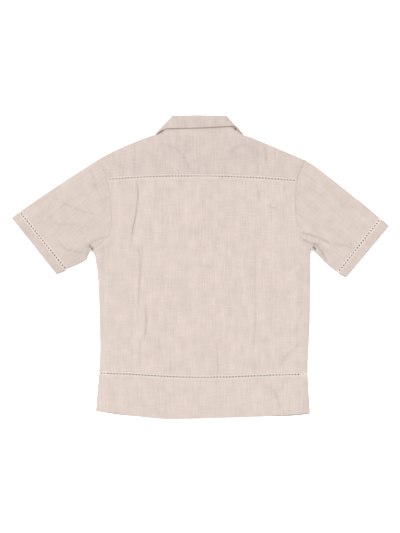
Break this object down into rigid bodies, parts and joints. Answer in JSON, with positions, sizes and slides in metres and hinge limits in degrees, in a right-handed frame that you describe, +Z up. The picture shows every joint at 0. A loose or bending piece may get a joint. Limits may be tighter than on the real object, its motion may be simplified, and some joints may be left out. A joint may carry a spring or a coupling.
{
  "type": "short-sleeve shirt",
  "caption": "Short-sleeve shirt of slubby linen laid flat with its back up, with a folded collar and openwork tapes under the yoke, above the hem and above the cuffs.",
  "frame": {"origin": "on the surface the shirt lies on, under the middle of its bounding box", "axes": "+X runs across the back from the left cuff to the right cuff as seen from above, +Y from the hem to the collar, +Z up from the surface"},
  "size_m": [0.9431, 0.7596, 0.0099],
  "materials": {
    "linen": "matte, with fine slubs",
    "tape_thread": "matte, openwork",
    "button_shell": "satin"
  },
  "bodies": {
    "root": {"yoke": "linen", "yoke_tape": "tape_thread", "back": "linen", "hem_tape_back": "tape_thread", "hem_band_back": "linen", "front_left": "linen", "front_right": "linen", "hem_tape_front_left": "tape_thread", "hem_tape_front_right": "tape_thread", "hem_band_front_left": "linen", "hem_band_front_right": "linen", "sleeve_left": "linen", "sleeve_right": "linen", "sleeve_tape_left_upper": "tape_thread", "sleeve_tape_left_lower": "tape_thread", "sleeve_tape_right_upper": "tape_thread", "sleeve_tape_right_lower": "tape_thread", "cuff_left": "linen", "cuff_right": "linen", "collar": "linen", "button_1": "button_shell", "button_2": "button_shell", "button_3": "button_shell", "button_4": "button_shell", "button_5": "button_shell", "button_6": "button_shell"}
  },
  "joints": []
}
